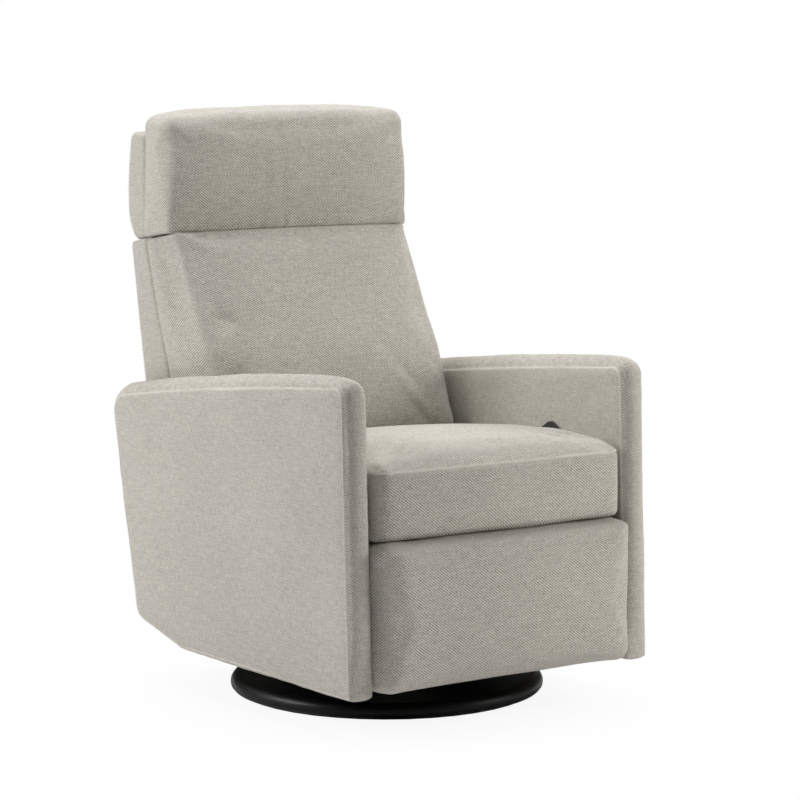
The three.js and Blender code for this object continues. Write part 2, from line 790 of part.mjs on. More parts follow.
// ---------------------------------------------------------------- release lever
/** A blade with a peaked paddle that stands up between the cushion and the arm. */
function makeLever() {
  const group = new THREE.Group();
  const [y, z] = LEVER_PIVOT;
  const paddle = new THREE.Shape();
  paddle.moveTo(y - 46, z + 66);
  paddle.lineTo(y - 52, z + 84);
  paddle.quadraticCurveTo(y - 52, z + 92, y - 46, z + 95);
  paddle.lineTo(y - 26, z + 106);
  paddle.quadraticCurveTo(y - 20, z + 109, y - 14, z + 105);
  paddle.lineTo(y + 10, z + 91);
  paddle.quadraticCurveTo(y + 14, z + 86, y + 12, z + 80);
  paddle.lineTo(y + 6, z + 62);
  paddle.closePath();
  const blade = join(
    plate(paddle, ...LEVER_PLANE),
    strap([y, z], [y - 18, z + 76], 13, LEVER_PLANE),
  );
  put(group, "release_lever", cut(blade, hole(LEVER_PIVOT, LINK_HOLE + 0.4, LEVER_PLANE)), blackPlastic);
  return group;
}

function cableGeometry() {
  const radius = 2.5;
  const route = [
    [279, -112, 366],
    [279, -113, 354],
    [275, -115, 346.5],
    [266, -118, 344.3],
    [252, -124, 344],
    [240, -130, 343],
    [234, -136, 336],
    [233, -142, 324],
    [236, -150, 314],
    [242, -162, 306],
    [247, -176, 302],
    [247, -183.6, 301],
  ];
  const section = new THREE.Shape();
  section.absarc(0, 0, radius, 0, 2 * Math.PI, false);
  const points = route.map((p) => new THREE.Vector3(...p));
  return new THREE.ExtrudeGeometry(section, {
    steps: 24,
    curveSegments: 4,
    extrudePath: new THREE.CatmullRomCurve3(points),
  });
}

function makeRelease(group) {
  const x = [ARM_IN + 0.3, ARM_IN + 4];
  const housing = join(
    plate(leverHousingShape(0), ...x),
    barX(LINK_HOLE, LEVER_PLANE[0] - 1, x[1] - 1, LEVER_PIVOT),
  );
  put(group, "lever_housing", housing, blackPlastic);
  put(group, "release_cable", cableGeometry(), rubber);
  put(group, "latch_case", box(238, SLOT_PLANE[0] - GAP, -222, -184, 284, 322), steel);
}

// ---------------------------------------------------------------- assembly
function makeChair() {
  const group = new THREE.Group();
  makeSeatBox(group);
  makeArms(group);
  putPair(group, "footrest_slot_plate", slotPlateGeometry(), steel);
  putPair(group, "recline_plate", reclinePlateGeometry(), steel);
  makeRelease(group);
  return group;
}

const recliner = new THREE.Group();
recliner.add(
  makeBase(),
  makeSwivel(),
  makeGlideLinks(...GLIDE_SIDES[0]),
  makeGlideLinks(...GLIDE_SIDES[1]),
  makeChair(),
  makeCranks(),
  makeSwings(),
  makeTies(),
  makeFootrest(),
  makeBack(),
  makeHeadrest(),
  makeLever(),
);

export default recliner;
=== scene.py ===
"""Looks of an upholstered swivel glider recliner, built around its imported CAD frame.

Lengths are in metres, in the frame's own axes: +Z is up and the sitter faces -Y. Every soft piece is
a fine grid with its own cloth coordinates, so that weave, seams and stitches follow its panels.
"""

import json
import math

import bpy
import numpy as np
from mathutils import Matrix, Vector


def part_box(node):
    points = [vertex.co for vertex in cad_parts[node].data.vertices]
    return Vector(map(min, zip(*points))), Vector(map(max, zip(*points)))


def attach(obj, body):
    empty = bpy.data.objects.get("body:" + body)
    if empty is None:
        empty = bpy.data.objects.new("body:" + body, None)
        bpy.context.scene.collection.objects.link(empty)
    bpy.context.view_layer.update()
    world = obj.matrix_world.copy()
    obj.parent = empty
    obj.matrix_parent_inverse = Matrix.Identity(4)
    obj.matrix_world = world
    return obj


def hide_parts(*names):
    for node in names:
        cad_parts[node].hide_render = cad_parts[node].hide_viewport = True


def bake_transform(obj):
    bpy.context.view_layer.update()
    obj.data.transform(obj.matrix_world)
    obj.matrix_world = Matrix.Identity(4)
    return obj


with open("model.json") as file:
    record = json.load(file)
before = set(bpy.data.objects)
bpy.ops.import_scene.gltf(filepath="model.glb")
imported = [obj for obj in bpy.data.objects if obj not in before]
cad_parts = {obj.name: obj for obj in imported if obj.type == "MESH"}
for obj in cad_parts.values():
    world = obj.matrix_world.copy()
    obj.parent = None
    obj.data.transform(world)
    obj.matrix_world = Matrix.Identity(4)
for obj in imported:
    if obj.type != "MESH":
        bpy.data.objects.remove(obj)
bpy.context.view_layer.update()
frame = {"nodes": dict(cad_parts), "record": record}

MM = 0.001
RANDOM = np.random.default_rng(7)


# ---------------------------------------------------------------- mesh helpers
def lines(low, high, step, keep=()):
    """Grid coordinates from low to high, about step apart, that pass through the kept values."""
    count = max(2, round((high - low) / step))
    plain = np.linspace(low, high, count + 1)
    kept = np.array(sorted(k for k in keep if low < k < high))
    if len(kept):
        clear = np.abs(plain[:, None] - kept[None, :]).min(axis=1) > 0.45 * step
        clear[[0, -1]] = True
        plain = np.concatenate([plain[clear], kept])
    return np.unique(np.round(plain, 7))


def block(xs, ys, zs):
    """The skin of a box as one closed grid: points, quads, and two cloth coordinates per quad corner."""
    axes = [xs, ys, zs]
    index, points, quads, cloth = {}, [], [], []

    def corner(p):
        key = tuple(round(c * 1e6) for c in p)
        if key not in index:
            index[key] = len(points)
            points.append(p)
        return index[key]

    for a in range(3):
        b, c = (a + 1) % 3, (a + 2) % 3
        flat = [k for k in range(3) if k != a]
        for side in (0, -1):
            for i in range(len(axes[b]) - 1):
                for j in range(len(axes[c]) - 1):
                    quad = []
                    for di, dj in ((0, 0), (1, 0), (1, 1), (0, 1)):
                        p = [0.0, 0.0, 0.0]
                        p[a], p[b], p[c] = axes[a][side], axes[b][i + di], axes[c][j + dj]
                        quad.append(tuple(p))
                    if side == 0:
                        quad.reverse()
                    quads.append([corner(p) for p in quad])
                    cloth.append([(p[flat[0]], p[flat[1]]) for p in quad])
    return np.array(points), quads, cloth


def rounded(points, half, low_radius, high_radius):
    """Points on a box's skin, moved so that its edges are rounded. Each radius is (x, y, z)."""
    radius = np.where(points < 0, np.array(low_radius), np.array(high_radius))
    inner = np.clip(points, radius - half, half - radius)
    over = (points - inner) / radius
    return inner + radius * over / np.linalg.norm(over, axis=1)[:, None]


def curve_through(points, count=160):
    """A smooth (y, z) curve through the points, as arrays that run evenly along its length."""
    p = np.array(points, float)
    p = np.vstack([2 * p[0] - p[1], p, 2 * p[-1] - p[-2]])
    made = []
    for i in range(1, len(p) - 2):
        t = np.linspace(0, 1, 30, endpoint=i == len(p) - 3)[:, None]
        made.append(
            0.5
            * (
                2 * p[i]
                + (p[i + 1] - p[i - 1]) * t
                + (2 * p[i - 1] - 5 * p[i] + 4 * p[i + 1] - p[i + 2]) * t**2
                + (3 * p[i] - p[i - 1] - 3 * p[i + 1] + p[i + 2]) * t**3
            )
        )
    return resample(np.vstack(made), count)


def resample(path, count, closed=False):
    """Points spread evenly along a path."""
    if closed:
        path = np.vstack([path, path[:1]])
    run = np.concatenate([[0], np.cumsum(np.linalg.norm(np.diff(path, axis=0), axis=1))])
    at = np.linspace(0, run[-1], count, endpoint=not closed)
    return np.column_stack([np.interp(at, run, path[:, k]) for k in range(path.shape[1])])


def between(front, rear, points, half_height):
    """Bends block points (x, depth, height) into the space between a front and a rear (y, z) curve."""
    height = (points[:, 2] / half_height + 1) / 2
    share = np.clip(height, 0, 1)
    at = np.linspace(0, 1, len(front))
    f = np.column_stack([np.interp(share, at, front[:, k]) for k in range(2)])
    r = np.column_stack([np.interp(share, at, rear[:, k]) for k in range(2)])
    across = (r - f) / np.linalg.norm(r - f, axis=1)[:, None]
    place = (f + r) / 2 + across * points[:, 1:2]
    place[:, 1] += (height - share) * 2 * half_height
    return np.column_stack([points[:, 0], place])


def thickness(front, rear, height, half_height):
    """Distance between the two curves at the given block heights."""
    share = np.clip((height / half_height + 1) / 2, 0, 1)
    gap = np.linalg.norm(rear - front, axis=1)
    return np.interp(share, np.linspace(0, 1, len(front)), gap)


def make(name, points, faces, cloth=None, smooth=True):
    """A mesh object. cloth holds two coordinates per face corner."""
    mesh = bpy.data.meshes.new(name)
    mesh.from_pydata([tuple(p) for p in points], [], [tuple(f) for f in faces])
    if cloth is not None:
        layer = mesh.uv_layers.new(name="Cloth")
        layer.data.foreach_set("uv", np.array([c for f in cloth for c in f], np.float32).ravel())
    mesh.polygons.foreach_set("use_smooth", [smooth] * len(mesh.polygons))
    mesh.update()
    obj = bpy.data.objects.new(name, mesh)
    bpy.context.scene.collection.objects.link(obj)
    return obj


def places(obj):
    out = np.zeros(len(obj.data.vertices) * 3, np.float32)
    obj.data.vertices.foreach_get("co", out)
    return out.reshape(-1, 3).astype(float)


def normals(obj):
    out = np.zeros(len(obj.data.vertices) * 3, np.float32)
    obj.data.vertex_normals.foreach_get("vector", out)
    return out.reshape(-1, 3).astype(float)


def move_to(obj, points):
    obj.data.vertices.foreach_set("co", points.astype(np.float32).ravel())
    obj.data.update()


def mark(obj, name, values):
    """Stores a number per vertex for the materials."""
    layer = obj.data.attributes.get(name) or obj.data.attributes.new(name, "FLOAT", "POINT")
    layer.data.foreach_set("value", np.asarray(values, np.float32))


def apply_modifiers(obj):
    evaluated = obj.evaluated_get(bpy.context.evaluated_depsgraph_get())
    mesh = bpy.data.meshes.new_from_object(evaluated)
    obj.modifiers.clear()
    old, obj.data = obj.data, mesh
    bpy.data.meshes.remove(old)
    mesh.name = obj.name


def subdivide(obj, levels=1):
    obj.modifiers.new("fine", "SUBSURF").levels = levels
    apply_modifiers(obj)


# ---------------------------------------------------------------- soft shapes
def inflate(obj, held, pressure=4.0, cap=14 * MM, frames=20):
    """Swells a closed skin with air as cloth, held at its seams, and keeps each point within cap."""
    rest = places(obj)
    group = obj.vertex_groups.new(name="held")
    for weight in np.unique(np.round(held, 1)):
        if weight > 0:
            members = np.nonzero(np.round(held, 1) == weight)[0]
            group.add(members.tolist(), float(weight), "REPLACE")
    cloth = obj.modifiers.new("Cloth", "CLOTH")
    settings = cloth.settings
    settings.quality = 4
    settings.mass = 0.25
    settings.tension_stiffness = 18
    settings.compression_stiffness = 14
    settings.shear_stiffness = 8
    settings.bending_stiffness = 0.6
    settings.use_pressure = True
    settings.uniform_pressure_force = pressure
    settings.vertex_group_mass = "held"
    settings.pin_stiffness = 1.0
    settings.effector_weights.gravity = 0
    cloth.collision_settings.use_collision = False
    cloth.collision_settings.use_self_collision = False
    cloth.point_cache.frame_start = 1
    cloth.point_cache.frame_end = frames
    scene = bpy.context.scene
    for at in range(1, frames + 1):
        scene.frame_set(at)
    dg = bpy.context.evaluated_depsgraph_get()
    swollen = places(obj.evaluated_get(dg))
    obj.modifiers.clear()
    obj.vertex_groups.clear()
    scene.frame_set(1)
    shift = swollen - rest
    length = np.linalg.norm(shift, axis=1)
    limited = cap * np.tanh(length / cap)
    move_to(obj, rest + shift * (limited / np.maximum(length, 1e-9))[:, None])


def waves(points, sizes, seed):
    """Smooth noise from -1 to 1: a sum of plane waves of about the given sizes, in metres."""
    rng = np.random.default_rng(seed)
    total = np.zeros(len(points))
    count = 14
    for _ in range(count):
        direction = rng.normal(size=3)
        direction /= np.linalg.norm(direction)
        stretch = direction * 2 * math.pi / np.array(sizes) * rng.uniform(0.7, 1.4)
        total += np.sin(points @ stretch + rng.uniform(0, 2 * math.pi))
    return total / math.sqrt(count)


def groove(distance, width):
    """1 on a seam, falling smoothly to 0 some width away from it."""
    return np.exp(-((distance / width) ** 2))


# ---------------------------------------------------------------- upholstered pieces
GRID = 8 * MM  # usual spacing of a piece's grid lines
BESIDE = 3 * MM  # distance from a seam to the grid lines beside it
SEAM_HOLD = 2 * MM  # how far on each side of a seam the cloth is held while it swells


class Panelled:
    """A block-shaped upholstered piece while it is being made: its skin, its seams and its cloth."""

    def __init__(self, name, half, step=GRID, seams_x=(), seams_y=(), seams_z=()):
        self.name = name
        self.half = np.array(half)
        keep = []
        for seams in (seams_x, seams_y, seams_z):
            keep.append([s + d * BESIDE for s in seams for d in (-2, -1, 0, 1, 2)])
        grid = [lines(-h, h, step, k) for h, k in zip(half, keep)]
        self.block, self.quads, self.cloth = block(*grid)

    def on_face(self, axis, side):
        """True for the points on one face of the block."""
        return np.abs(self.block[:, axis] - side * self.half[axis]) < 1e-6

    def distance(self, tests):
        """Distance in the block from each point to the nearest seam. A seam is (faces, axis, value)."""
        best = np.full(len(self.block), 1.0)
        for faces, axis, value in tests:
            away = np.abs(self.block[:, axis] - value)
            there = np.zeros(len(self.block), bool)
            for face_axis, side in faces:
                there |= self.on_face(face_axis, side)
            best = np.where(there, np.minimum(best, away), best)
        return best

    def build(self, points):
        return make(self.name, points, self.quads, self.cloth)

    def sew(self, obj, body, axis, value):
        """Stitches round the piece along the grid line where one block coordinate has this value."""
        line = np.nonzero(np.abs(self.block[:, axis] - value) < 1e-5)[0]
        a, b = [k for k in range(3) if k != axis]
        q = self.block[line]
        turn = np.arctan2(q[:, b] / self.half[b], q[:, a] / self.half[a])
        line = line[np.argsort(turn)]
        stitch(obj.name.replace("cover", "stitches"), places(obj)[line], normals(obj)[line], body)


def seam_depth(obj, distance, sewn, depth=2.4 * MM, width=2.2 * MM):
    """Draws the skin in along its seams, and marks a line along its topstitching where the cloth is
    lightened: partly the pale thread, partly a painted highlight on the seam's ridge.
    """
    move_to(obj, places(obj) - normals(obj) * (depth * groove(distance, width))[:, None])
    # the seam mark: a painted highlight along the topstitching, partly standing for the pale thread
    mark(obj, "seam", groove(sewn, 1.2 * MM))


STITCH = 5 * MM  # length of one stitch
STITCH_PITCH = 6.8 * MM
THREAD_SIDES = 5
SEWN = []  # rows of stitches, each with the body that it rides on


def stitch(name, path, up, body):
    """A row of thread stitches on a closed path over a surface, each a small pointed bead."""
    path = np.vstack([path, path[:1]])
    up = np.vstack([up, up[:1]])
    run = np.concatenate([[0], np.cumsum(np.linalg.norm(np.diff(path, axis=0), axis=1))])
    count = int(run[-1] / STITCH_PITCH)
    sides, points, faces = THREAD_SIDES, [], []
    for k in range(count):
        at = (k + 0.5) * run[-1] / count + RANDOM.uniform(-0.3, 0.3) * MM
        spots = [at - STITCH / 2, at, at + STITCH / 2]
        a, middle, b = (np.array([np.interp(t, run, path[:, i]) for i in range(3)]) for t in spots)
        normal = np.array([np.interp(at, run, up[:, i]) for i in range(3)])
        normal /= np.linalg.norm(normal)
        along = (b - a) / np.linalg.norm(b - a)
        across = np.cross(normal, along)
        first = len(points)
        points.append(a - normal * 0.3 * MM)
        for part in (-0.28, 0.28):
            for i in range(sides):
                turn = 2 * math.pi * i / sides
                ring = across * math.cos(turn) * 0.7 * MM + normal * math.sin(turn) * 0.55 * MM
                points.append(middle + along * part * STITCH + ring + normal * 0.15 * MM)
        points.append(b - normal * 0.3 * MM)
        last = len(points) - 1
        for i in range(sides):
            j = (i + 1) % sides
            p, q = first + 1 + i, first + 1 + j
            faces += [[first, q, p], [p, q, q + sides, p + sides], [p + sides, q + sides, last]]
    SEWN.append((make(name, points, faces), body))


# Front and side faces of a block, named for the seams on them.
FRONT, REAR, LEFT, RIGHT, TOP, BOTTOM = (1, -1), (1, 1), (0, -1), (0, 1), (2, 1), (2, -1)
ROUND = (FRONT, LEFT, RIGHT, REAR)


def ease_down(distance, reach):
    """1 at an edge, easing to 0 at reach from it."""
    return (1 - np.clip(distance / reach, 0, 1)) ** 2


def make_seat_cushion():
    low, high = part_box("seat_cushion")
    half = np.array([0.2815, (high.y - low.y) / 2 + 8 * MM, 0.0755])
    centre = np.array([0, (low.y + high.y) / 2 - 9 * MM, low.z - 0.5 * MM + half[2]])
    top_seam = 0.4735 - centre[2]
    low_seam = 0.3575 - centre[2]
    piece = Panelled("seat_cushion_cover", half, seams_z=(top_seam, low_seam))
    q = piece.block
    shape = rounded(q, half, (30 * MM, 44 * MM, 10 * MM), (30 * MM, 16 * MM, 24 * MM))
    above = np.clip((q[:, 2] - top_seam) / (half[2] - top_seam), 0, 1)
    drop = 5 * MM * ease_down(half[0] - np.abs(q[:, 0]), 90 * MM)
    drop += 24 * MM * np.clip((shape[:, 1] + 0.08) / 0.29, 0, 1) ** 1.2
    crown = 11 * MM * np.clip(1 - (q[:, 0] / half[0]) ** 2, 0, 1)
    shape[:, 2] += above**1.5 * (crown - 3 * MM - drop)
    bulge = np.clip(1 - (q[:, 2] / half[2]) ** 2, 0, 1) * np.clip(1 - (q[:, 0] / half[0]) ** 2, 0, 1)
    shape[:, 1] -= 11 * MM * bulge * (q[:, 1] < 0)
    seams = piece.distance([(ROUND, 2, top_seam), (ROUND, 2, low_seam)])
    held = groove(seams, SEAM_HOLD)
    held[piece.on_face(*BOTTOM) | piece.on_face(*REAR)] = 1
    obj = piece.build(shape + centre)
    inflate(obj, held, pressure=3.0, cap=7 * MM)
    seam_depth(obj, seams, piece.distance([(ROUND, 2, top_seam + BESIDE)]), 2.8 * MM)
    piece.sew(obj, "chair", 2, top_seam + BESIDE)
    subdivide(obj)
    p = places(obj)
    near = groove(p[:, 2] - 0.468, 12 * MM)
    soft = waves(p, (0.16, 0.12, 0.2), 11) * 0.9 * MM
    puckers = waves(p, (0.03, 0.5, 0.5), 12) * 0.7 * MM * near
    move_to(obj, p + normals(obj) * (soft + puckers)[:, None])
    return obj, "seat_cushion", "chair"


def make_footrest():
    low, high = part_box("footrest_pad")
    bottom, top = low.z + 0.5 * MM, high.z + 8 * MM
    half = np.array([0.2835, 0.037, (top - bottom) / 2])
    centre = np.array([0, high.y - 0.5 * MM - half[1], (bottom + top) / 2])
    piece = Panelled("footrest_cover", half)
    q = piece.block
    shape = rounded(q, half, (30 * MM, 22 * MM, 34 * MM), (30 * MM, 6 * MM, 13 * MM))
    held = np.zeros(len(q))
    held[piece.on_face(*REAR)] = 1
    obj = piece.build(shape + centre)
    inflate(obj, held, pressure=2.0, cap=5 * MM)
    subdivide(obj)
    mark(obj, "seam", np.zeros(len(obj.data.vertices)))
    p = places(obj)
    soft = waves(p, (0.2, 0.2, 0.14), 21) * 0.9 * MM
    rim = groove(p[:, 2] - 0.336, 12 * MM) + groove(0.281 - np.abs(p[:, 0]), 12 * MM)
    soft += waves(p, (0.035, 0.3, 0.035), 22) * 0.5 * MM * rim
    move_to(obj, p + normals(obj) * soft[:, None])
    return obj, "footrest_pad", "footrest"


SEAM_INSET = 4 * MM  # distance of a pad's or a shell's sewn seam from its rear face


class Bent(Panelled):
    """A panelled block bent into the space between a front and a rear (y, z) curve.

    flat holds the block's points with its thickness varied along its height, and halves the half
    sizes of the block at each point.
    """

    def __init__(self, name, front, rear, half_width):
        self.front, self.rear = curve_through(front), curve_through(rear)
        middle = (self.front + self.rear) / 2
        self.half_height = np.linalg.norm(np.diff(middle, axis=0), axis=1).sum() / 2
        nominal = np.linalg.norm(self.rear - self.front, axis=1).mean() / 2
        self.seam = nominal - SEAM_INSET
        super().__init__(name, (half_width, nominal, self.half_height), seams_y=(self.seam,))
        self.flat = self.block.copy()
        local = thickness(self.front, self.rear, self.flat[:, 2], self.half_height) / 2
        self.flat[:, 1] *= local / nominal
        count = len(self.flat)
        self.halves = np.column_stack([np.full(count, half_width), local, np.full(count, self.half_height)])

    def bend(self, shape):
        return self.build(between(self.front, self.rear, shape, self.half_height))

    def seam_distance(self, value):
        return self.distance([((LEFT, RIGHT, TOP, BOTTOM), 1, value)])


def make_bent_pad(
    name, body, front, rear, half_width, low_radius, high_radius, edges, crown, puff, seed, lip
):
    """A pad between two (y, z) curves, with a sewn seam round its rear edge.

    Its side edges get rounder downwards by the share in edges, and its front is crowned across. puff
    is the air's pressure and how far it may move the cloth. The lip, the front edge at the top (+1)
    or the bottom (-1), is pressed out by that much, so that it closes the parting.
    """
    piece = Bent(name, front, rear, half_width)
    q, half_height = piece.flat, piece.half_height
    fade = (1 - q[:, 2:3] / half_height) / 2
    soften = np.hstack([np.tile(1 + edges * (fade - 0.4), 2), np.ones((len(q), 1))])
    shape = rounded(q, piece.halves, soften * low_radius, soften * high_radius)
    shape[:, 1] -= crown * np.clip(1 - (q[:, 0] / half_width) ** 2, 0, 1) * (q[:, 1] < 0)
    near_lip = groove(np.clip(half_height - np.sign(lip) * q[:, 2], 0, None), 12 * MM)
    shape[:, 2] += lip * near_lip * np.clip(-shape[:, 1] / piece.half[1], 0, 1)
    seams = piece.seam_distance(piece.seam)
    held = groove(seams, SEAM_HOLD)
    held[piece.on_face(*REAR) | piece.on_face(*BOTTOM)] = 1
    obj = piece.bend(shape)
    inflate(obj, held, pressure=puff[0], cap=puff[1])
    topstitch = piece.seam - BESIDE
    seam_depth(obj, seams, piece.seam_distance(topstitch), depth=1.8 * MM)
    piece.sew(obj, body, 1, topstitch)
    subdivide(obj)
    p = places(obj)
    soft = waves(p, (0.2, 0.3, 0.16), seed) * 0.9 * MM
    move_to(obj, p + normals(obj) * soft[:, None])
    return obj


BACK_FRONT = [
    (0.14, 0.409),
    (0.129, 0.474),
    (0.18, 0.616),
    (0.229, 0.704),
    (0.269, 0.775),
    (0.324, 0.8705),
]
BACK_SEAM = [(0.303, 0.401), (0.319, 0.474), (0.343, 0.589), (0.38, 0.705), (0.4275, 0.849)]
BACK_REAR = [(0.385, 0.3415), (0.411, 0.45), (0.439, 0.572), (0.462, 0.7), (0.4865, 0.8395)]


def make_back_pad():
    obj = make_bent_pad(
        "back_cover", "back", BACK_FRONT, BACK_SEAM, 0.277,
        (18 * MM, 24 * MM, 14 * MM), (18 * MM, 6 * MM, 4 * MM), 1.5, 12 * MM, (3.5, 9 * MM), 31, 5 * MM,
    )
    p = places(obj)
    front = np.clip(-normals(obj)[:, 1], 0, 1)
    fold = p[:, 0] * 0.8 + (p[:, 2] - 0.56) * 0.6
    spread = groove(np.hypot(p[:, 0] - 0.15, p[:, 2] - 0.56), 0.13)
    depth = (1.6 * groove(fold - 0.115, 12 * MM) - 1.3 * groove(fold - 0.138, 10 * MM)) * spread
    depth += waves(p, (0.05, 0.4, 0.11), 32) * 0.45 * groove(p[:, 2] - 0.46, 0.05)
    move_to(obj, p + normals(obj) * (depth * front * MM)[:, None])
    return obj, "back_pad", "back"


def make_head_pad():
    front = [(0.328, 0.8665), (0.323, 0.93), (0.325, 1.0), (0.334, 1.0905)]
    rear = [(0.4295, 0.8495), (0.431, 0.92), (0.4325, 1.0), (0.4335, 1.0905)]
    obj = make_bent_pad(
        "headrest_cover", "headrest", front, rear, 0.281,
        (16 * MM, 21 * MM, 4 * MM), (16 * MM, 28 * MM, 24 * MM), -0.8, 8 * MM, (2.0, 5 * MM), 41, -5 * MM,
    )
    p = places(obj)
    front = np.clip(-normals(obj)[:, 1], 0, 1)
    middle = groove(p[:, 0] + 0.01, 0.09) * groove(p[:, 2] - 0.985, 0.075)
    creases = waves(p, (0.034, 0.3, 0.4), 42) * 1.1 * middle
    hem = groove(p[:, 2] - 0.872, 0.022)
    creases += waves(p, (0.022, 0.3, 0.5), 43) * 0.9 * hem
    creases -= 1.2 * groove(p[:, 2] - 0.893 - 0.006 * waves(p, (0.2, 9, 9), 44), 7 * MM)
    crown = 10 * MM * np.clip(1 - (p[:, 0] / 0.285) ** 4, 0, 1) + 5 * MM * p[:, 0] / 0.28
    crown *= np.clip((p[:, 2] - 0.98) / 0.11, 0, 1)
    p[:, 2] += crown
    move_to(obj, p + normals(obj) * (creases * front * MM)[:, None])
    return obj, "headrest_pad", "headrest"


def make_shell(name, body, front, rear, half_width, low_radius, high_radius, seed):
    """A firm upholstered block between two (y, z) curves, thinly padded."""
    piece = Bent(name, front, rear, half_width)
    obj = piece.bend(rounded(piece.flat, piece.halves, low_radius, high_radius))
    topstitch = piece.seam - BESIDE
    seam_depth(obj, piece.seam_distance(piece.seam), piece.seam_distance(topstitch), depth=1.5 * MM)
    piece.sew(obj, body, 1, topstitch)
    subdivide(obj)
    p = places(obj)
    move_to(obj, p + normals(obj) * (waves(p, (0.25, 0.3, 0.25), seed) * 0.7 * MM)[:, None])
    return obj


def make_back_shell():
    front = [(0.3, 0.3415), (0.304, 0.401), (0.344, 0.589), (0.381, 0.705), (0.4285, 0.8505)]
    obj = make_shell(
        "back_shell_cover", "back", front, BACK_REAR, 0.2765,
        (11 * MM, 5 * MM, 10 * MM), (11 * MM, 12 * MM, 5 * MM), 51,
    )
    return obj, "back_shell", "back"


def make_head_shell():
    front = [(0.4305, 0.8505), (0.432, 0.92), (0.4335, 1.0), (0.4345, 1.0555)]
    rear = [(0.4755, 0.8425), (0.501, 0.883), (0.505, 0.96), (0.492, 1.0555)]
    obj = make_shell(
        "headrest_shell_cover", "headrest", front, rear, 0.2725,
        (11 * MM, 5 * MM, 5 * MM), (11 * MM, 16 * MM, 16 * MM), 61,
    )
    return obj, "headrest_shell", "headrest"


def make_rear_panel():
    low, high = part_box("rear_panel")
    lean = 0.2211
    front = [(high.y - 13 * MM - (high.z - z) * lean, z) for z in (low.z, 0.18, 0.23, high.z)]
    rear = [(y + 14 * MM, z) for y, z in front]
    obj = make_shell(
        "rear_panel_cover", "chair", front, rear, 0.2825,
        (5 * MM, 3 * MM, 5 * MM), (5 * MM, 5 * MM, 5 * MM), 81,
    )
    return obj, "rear_panel", "chair"


def web(name, low, high, waist, rows=9, cloth=1.2 * MM):
    """A thin closed web of fabric between two matching rows of points, drawn in at its waist."""
    low, high = np.array(low, float), np.array(high, float)
    count = len(low)
    along = np.gradient(low, axis=0)
    along /= np.linalg.norm(along, axis=1)[:, None]
    up = (high - low) / np.linalg.norm(high - low, axis=1)[:, None]
    inward = np.cross(up, along)
    run = np.concatenate([[0], np.cumsum(np.linalg.norm(np.diff(low, axis=0), axis=1))])
    points, cloth_at = [], []
    for side in (0.5, -0.5):
        for k in range(rows):
            share = k / (rows - 1)
            sag = waist * math.sin(math.pi * share) * (1 + 0.25 * np.sin(run * 46 + 2 * share))
            row = low + (high - low) * share + inward * (sag + side * cloth)[:, None]
            points += list(row)
            rise = share * np.linalg.norm(high - low, axis=1).mean()
            cloth_at += [(r, rise) for r in run]
    faces = []
    back = rows * count
    for k in range(rows - 1):
        for i in range(count - 1):
            a, b = k * count + i, (k + 1) * count + i
            faces.append([a, b, b + 1, a + 1])
            faces.append([back + a, back + a + 1, back + b + 1, back + b])
    rim = [i for i in range(count)] + [k * count + count - 1 for k in range(1, rows)]
    rim += [(rows - 1) * count + i for i in range(count - 2, -1, -1)]
    rim += [k * count for k in range(rows - 2, 0, -1)]
    for a, b in zip(rim, rim[1:] + rim[:1]):
        faces.append([a, b, back + b, back + a])
    obj = make(name, points, faces, [[cloth_at[v] for v in face] for face in faces])
    mark(obj, "seam", np.zeros(len(points)))
    return obj


def make_recline_web():
    """Slack fabric that closes the back of the seat, from the rear panel up to the back shell."""
    count = 75
    x = np.linspace(-0.262, 0.262, count)
    low = np.column_stack([x, np.full(count, 0.369), np.full(count, 0.28)])
    high = np.column_stack([x, np.full(count, 0.376), np.full(count, 0.349)])
    return web("recline_web", low, high, 7 * MM), low.mean(axis=0), high.mean(axis=0)


def make_headrest_web():
    """Fabric folded away in the parting behind the headrest."""
    side, front, rear, turn = 0.262, 0.38, 0.466, 12
    arc = np.linspace(0, math.pi / 2, turn)
    corner = 14 * MM
    path = [(-side, y) for y in np.linspace(front, rear - corner, 12)[:-1]]
    path += [(-side + corner * (1 - math.cos(a)), rear - corner * (1 - math.sin(a))) for a in arc]
    path += [(x, rear) for x in np.linspace(-side + corner, side - corner, 60)[1:-1]]
    path += [(side - corner * (1 - math.sin(a)), rear - corner * (1 - math.cos(a))) for a in arc]
    path += [(side, y) for y in np.linspace(rear - corner, front, 12)[1:]]
    parting = [0.865 - 0.1935 * (y - 0.35) for _, y in path]
    low = [(x, y, z - 9 * MM) for (x, y), z in zip(path, parting)]
    high = [(x, y, z + 9 * MM) for (x, y), z in zip(path, parting)]
    return web("headrest_web", low, high, 1 * MM), (0, 0.45, 0.8365), (0, 0.45, 0.855)


def make_gap_shade_edging():
    """A near-black cloth strip over the front edge of the seat deck, like the black cambric of such chairs,
    and dark as painted shade in the narrow gap behind the footrest.
    """
    piece = Panelled("deck_edging", (0.2405, 0.0012, 0.0058), step=12 * MM)
    radius = (1 * MM, 0.6 * MM, 1 * MM)
    shape = rounded(piece.block, piece.half, radius, radius) + np.array([0, -0.3214, 0.3438])
    return piece.build(shape)


# ---------------------------------------------------------------- arms
def bend(a, corner, b, count=24):
    """A quadratic curve from a to b, drawn towards corner."""
    t = np.linspace(0, 1, count)[:, None]
    a, corner, b = (np.array(p, float) for p in (a, corner, b))
    return (1 - t) ** 2 * a + 2 * t * (1 - t) * corner + t**2 * b


